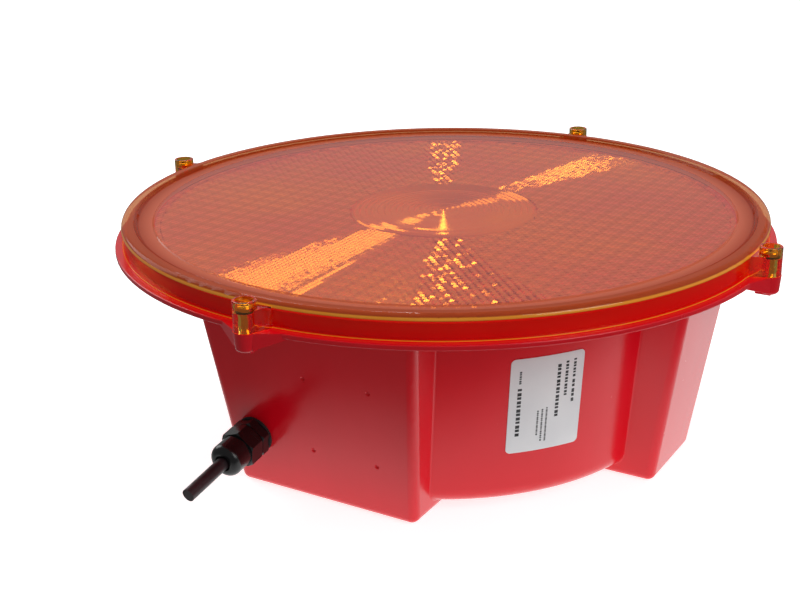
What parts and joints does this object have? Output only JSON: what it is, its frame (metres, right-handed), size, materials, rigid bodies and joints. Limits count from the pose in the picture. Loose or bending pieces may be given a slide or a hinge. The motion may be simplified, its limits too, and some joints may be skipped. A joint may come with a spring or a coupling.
{
  "type": "warning lamp",
  "caption": "Round amber road-works warning lamp head: flared red housing on four feet, screwed prismatic lens, cable gland and inner flasher electronics.",
  "frame": {"origin": "on the mounting plane under the feet, below the centre of the lens", "axes": "+Z along the lens axis, out of the lens; the wide foot with the cable gland faces -Y; the narrow feet face +X and -X"},
  "size_m": [0.383, 0.383, 0.131],
  "materials": {
    "housing_red": "glossy moulded red plastic, slightly translucent at thin edges",
    "lens_amber": "clear glossy amber polycarbonate",
    "seal_foam": "matt black sealing cord",
    "screw_gold": "yellow-passivated steel",
    "washer_rubber": "matt black rubber",
    "gland_black": "satin black polyamide",
    "seal_black": "matt black rubber",
    "cable_sheath": "satin black-brown cable sheath",
    "core_brown": "brown core insulation",
    "core_blue": "blue core insulation",
    "terminal_green": "green terminal housing",
    "screw_steel": "zinc-plated steel",
    "board_green": "green solder mask",
    "capacitor_sleeve": "black shrink sleeve with aluminium top",
    "ferrite": "dark grey ferrite",
    "copper_winding": "enamelled copper wire",
    "chip_black": "black epoxy",
    "switch_steel": "tinned steel",
    "switch_white": "white plastic",
    "sink_aluminium": "turned aluminium",
    "board_white": "white solder mask",
    "led_yellow": "phosphor under clear silicone",
    "cover_clear": "clear polycarbonate",
    "lead_red": "red wire insulation",
    "label_white": "satin white film",
    "insert_brass": "knurled brass"
  },
  "bodies": {
    "lamp_base": {"board_chips": "chip_black", "board_screws": "screw_steel", "cable_tail": "cable_sheath", "capacitors": "capacitor_sleeve", "coil_core": "ferrite", "coil_winding": "copper_winding", "control_board": "board_green", "core_wire_minus": "core_blue", "core_wire_plus": "core_brown", "foot_inserts": "insert_brass", "gland_body": "gland_black", "gland_claw": "gland_black", "gland_gasket": "seal_black", "gland_locknut": "gland_black", "heat_sink": "sink_aluminium", "housing": "housing_red", "led_board": "board_white", "led_cover": "cover_clear", "led_emitters": "led_yellow", "led_lead": "lead_red", "led_screws": "screw_steel", "lens_seal": "seal_foam", "rate_switch_case": "switch_steel", "rating_label": "label_white", "supply_cable": "cable_sheath", "terminal_block": "terminal_green", "vent_nut": "gland_black", "vent_plug": "gland_black"},
    "lens_cover": {"lens": "lens_amber"},
    "washer_1": {"screw_washer_1": "washer_rubber"},
    "screw_1": {"lens_screw_1": "screw_gold"},
    "washer_2": {"screw_washer_2": "washer_rubber"},
    "screw_2": {"lens_screw_2": "screw_gold"},
    "washer_3": {"screw_washer_3": "washer_rubber"},
    "screw_3": {"lens_screw_3": "screw_gold"},
    "washer_4": {"screw_washer_4": "washer_rubber"},
    "screw_4": {"lens_screw_4": "screw_gold"},
    "gland_seal_bush": {"gland_seal": "seal_black"},
    "gland_dome_nut": {"gland_nut": "gland_black"},
    "rate_slider": {"rate_switch_slider": "switch_white"},
    "clamp_1": {"terminal_clamp_1": "screw_steel"},
    "clamp_screw_1": {"terminal_screw_1": "screw_steel"},
    "clamp_2": {"terminal_clamp_2": "screw_steel"},
    "clamp_screw_2": {"terminal_screw_2": "screw_steel"}
  },
  "joints": [
    {"name": "lens_lift", "type": "slide", "parent": "lamp_base", "child": "lens_cover", "axis": [0, 0, 1], "range_m": [0, 0.06]},
    {"name": "screw_1_back_out", "type": "slide", "parent": "lens_cover", "child": "washer_1", "axis": [0, 0, 1], "range_m": [0, 0.009]},
    {"name": "screw_1_turn", "type": "hinge", "parent": "washer_1", "child": "screw_1", "pos_m": [0, -0.1855, 0.12], "axis": [0, 0, 1], "range_deg": [0, 1800]},
    {"name": "screw_2_back_out", "type": "slide", "parent": "lens_cover", "child": "washer_2", "axis": [0, 0, 1], "range_m": [0, 0.009]},
    {"name": "screw_2_turn", "type": "hinge", "parent": "washer_2", "child": "screw_2", "pos_m": [0.1855, 0, 0.12], "axis": [0, 0, 1], "range_deg": [0, 1800]},
    {"name": "screw_3_back_out", "type": "slide", "parent": "lens_cover", "child": "washer_3", "axis": [0, 0, 1], "range_m": [0, 0.009]},
    {"name": "screw_3_turn", "type": "hinge", "parent": "washer_3", "child": "screw_3", "pos_m": [0, 0.1855, 0.12], "axis": [0, 0, 1], "range_deg": [0, 1800]},
    {"name": "screw_4_back_out", "type": "slide", "parent": "lens_cover", "child": "washer_4", "axis": [0, 0, 1], "range_m": [0, 0.009]},
    {"name": "screw_4_turn", "type": "hinge", "parent": "washer_4", "child": "screw_4", "pos_m": [-0.1855, 0, 0.12], "axis": [0, 0, 1], "range_deg": [0, 1800]},
    {"name": "gland_nut_travel", "type": "slide", "parent": "lamp_base", "child": "gland_seal_bush", "axis": [0, -0.9872, -0.1593], "range_m": [0, 0.003]},
    {"name": "gland_nut_turn", "type": "hinge", "parent": "gland_seal_bush", "child": "gland_dome_nut", "pos_m": [-0.039, -0.15023, 0.02913], "axis": [0, -0.9872, -0.1593], "range_deg": [0, 720]},
    {"name": "rate_switch_slide", "type": "slide", "parent": "lamp_base", "child": "rate_slider", "axis": [1, 0, 0], "range_m": [0, 0.004]},
    {"name": "clamp_1_travel", "type": "slide", "parent": "lamp_base", "child": "clamp_1", "axis": [0, 0, 1], "range_m": [0, 0.001]},
    {"name": "clamp_screw_1_turn", "type": "hinge", "parent": "clamp_1", "child": "clamp_screw_1", "pos_m": [-0.0356, -0.0915, 0.028], "axis": [0, 0, 1], "range_deg": [0, 720]},
    {"name": "clamp_2_travel", "type": "slide", "parent": "lamp_base", "child": "clamp_2", "axis": [0, 0, 1], "range_m": [0, 0.001]},
    {"name": "clamp_screw_2_turn", "type": "hinge", "parent": "clamp_2", "child": "clamp_screw_2", "pos_m": [-0.0296, -0.0915, 0.028], "axis": [0, 0, 1], "range_deg": [0, 720]}
  ],
  "couplings": [
    {"joint": "screw_1_turn", "follows": "screw_1_back_out", "rad_per_m": 3490.7},
    {"joint": "screw_2_turn", "follows": "screw_2_back_out", "rad_per_m": 3490.7},
    {"joint": "screw_3_turn", "follows": "screw_3_back_out", "rad_per_m": 3490.7},
    {"joint": "screw_4_turn", "follows": "screw_4_back_out", "rad_per_m": 3490.7},
    {"joint": "gland_nut_turn", "follows": "gland_nut_travel", "rad_per_m": 4188.8},
    {"joint": "clamp_screw_1_turn", "follows": "clamp_1_travel", "rad_per_m": 12566},
    {"joint": "clamp_screw_2_turn", "follows": "clamp_2_travel", "rad_per_m": 12566}
  ]
}
